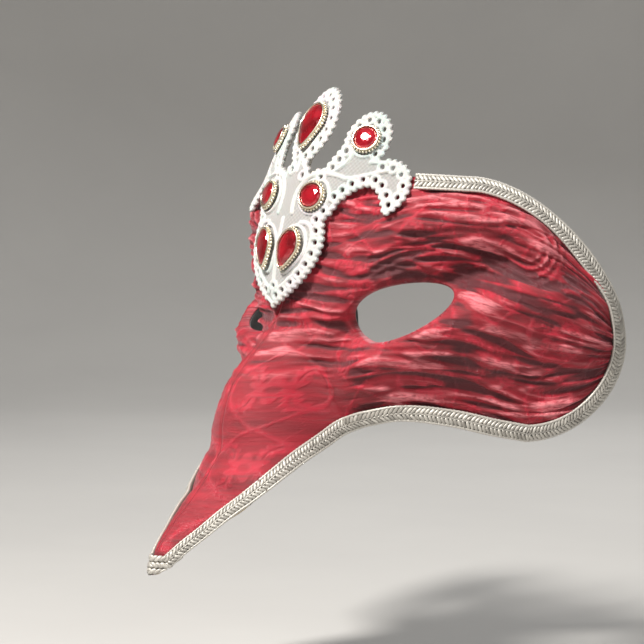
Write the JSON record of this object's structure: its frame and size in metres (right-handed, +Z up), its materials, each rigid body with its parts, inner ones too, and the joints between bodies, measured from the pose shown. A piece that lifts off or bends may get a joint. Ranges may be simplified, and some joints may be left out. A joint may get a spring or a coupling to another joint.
{
  "type": "venetian masquerade mask",
  "caption": "Long-nosed Venetian half mask in red damask over a moulded shell, edged with silver braid, with a jewelled lace crest and hinged rings for a tie.",
  "frame": {"origin": "on the mask's middle plane, where the felt lining meets the bridge of the wearer's nose at eye level", "axes": "+Z up the wearer's face, +Y back towards the wearer, +X towards the wearer's left; the mask looks along -Y"},
  "size_m": [0.1638, 0.1568, 0.1725],
  "materials": {
    "papier_mache": "layered paper sized with glue, off-white, matt",
    "damask": "crimson satin damask with a grey leaf pattern, crushed and glued down",
    "felt": "black wool felt",
    "braid": "silver-white gimp braid with a metallic thread",
    "lace": "white guipure lace, stiffened with size",
    "buckram": "stiff white buckram",
    "stone": "faceted red glass, foiled behind",
    "stone_cup": "pale silvered brass",
    "tape": "black grosgrain tape",
    "ring_wire": "nickel-plated wire"
  },
  "bodies": {
    "mask": {"shell": "papier_mache", "lining": "felt", "cover_left": "damask", "cover_right": "damask", "brow_pad": "felt", "braid_face_left": "braid", "braid_nose_left": "braid", "braid_face_right": "braid", "braid_nose_right": "braid", "braid_tip": "braid", "crest_lace": "lace", "crest_backing": "buckram", "cup_top_drop": "stone_cup", "stone_top_drop": "stone", "cup_lobe_left": "stone_cup", "stone_lobe_left": "stone", "cup_lobe_right": "stone_cup", "stone_lobe_right": "stone", "cup_middle_left": "stone_cup", "stone_middle_left": "stone", "cup_middle_right": "stone_cup", "stone_middle_right": "stone", "cup_tongue_left": "stone_cup", "stone_tongue_left": "stone", "cup_tongue_right": "stone_cup", "stone_tongue_right": "stone", "tie_tab_left": "tape", "tie_tab_right": "tape"},
    "ring_left": {"tie_ring_left": "ring_wire"},
    "ring_right": {"tie_ring_right": "ring_wire"}
  },
  "joints": [
    {"name": "tie_ring_left_swing", "type": "hinge", "parent": "mask", "child": "ring_left", "pos_m": [0.06953, 0.06463, -0.00205], "axis": [0.2365, -0.1114, 0.9652], "range_deg": [0, 130]},
    {"name": "tie_ring_right_swing", "type": "hinge", "parent": "mask", "child": "ring_right", "pos_m": [-0.06953, 0.06463, -0.00205], "axis": [0.2365, 0.1114, -0.9652], "range_deg": [0, 130]}
  ]
}
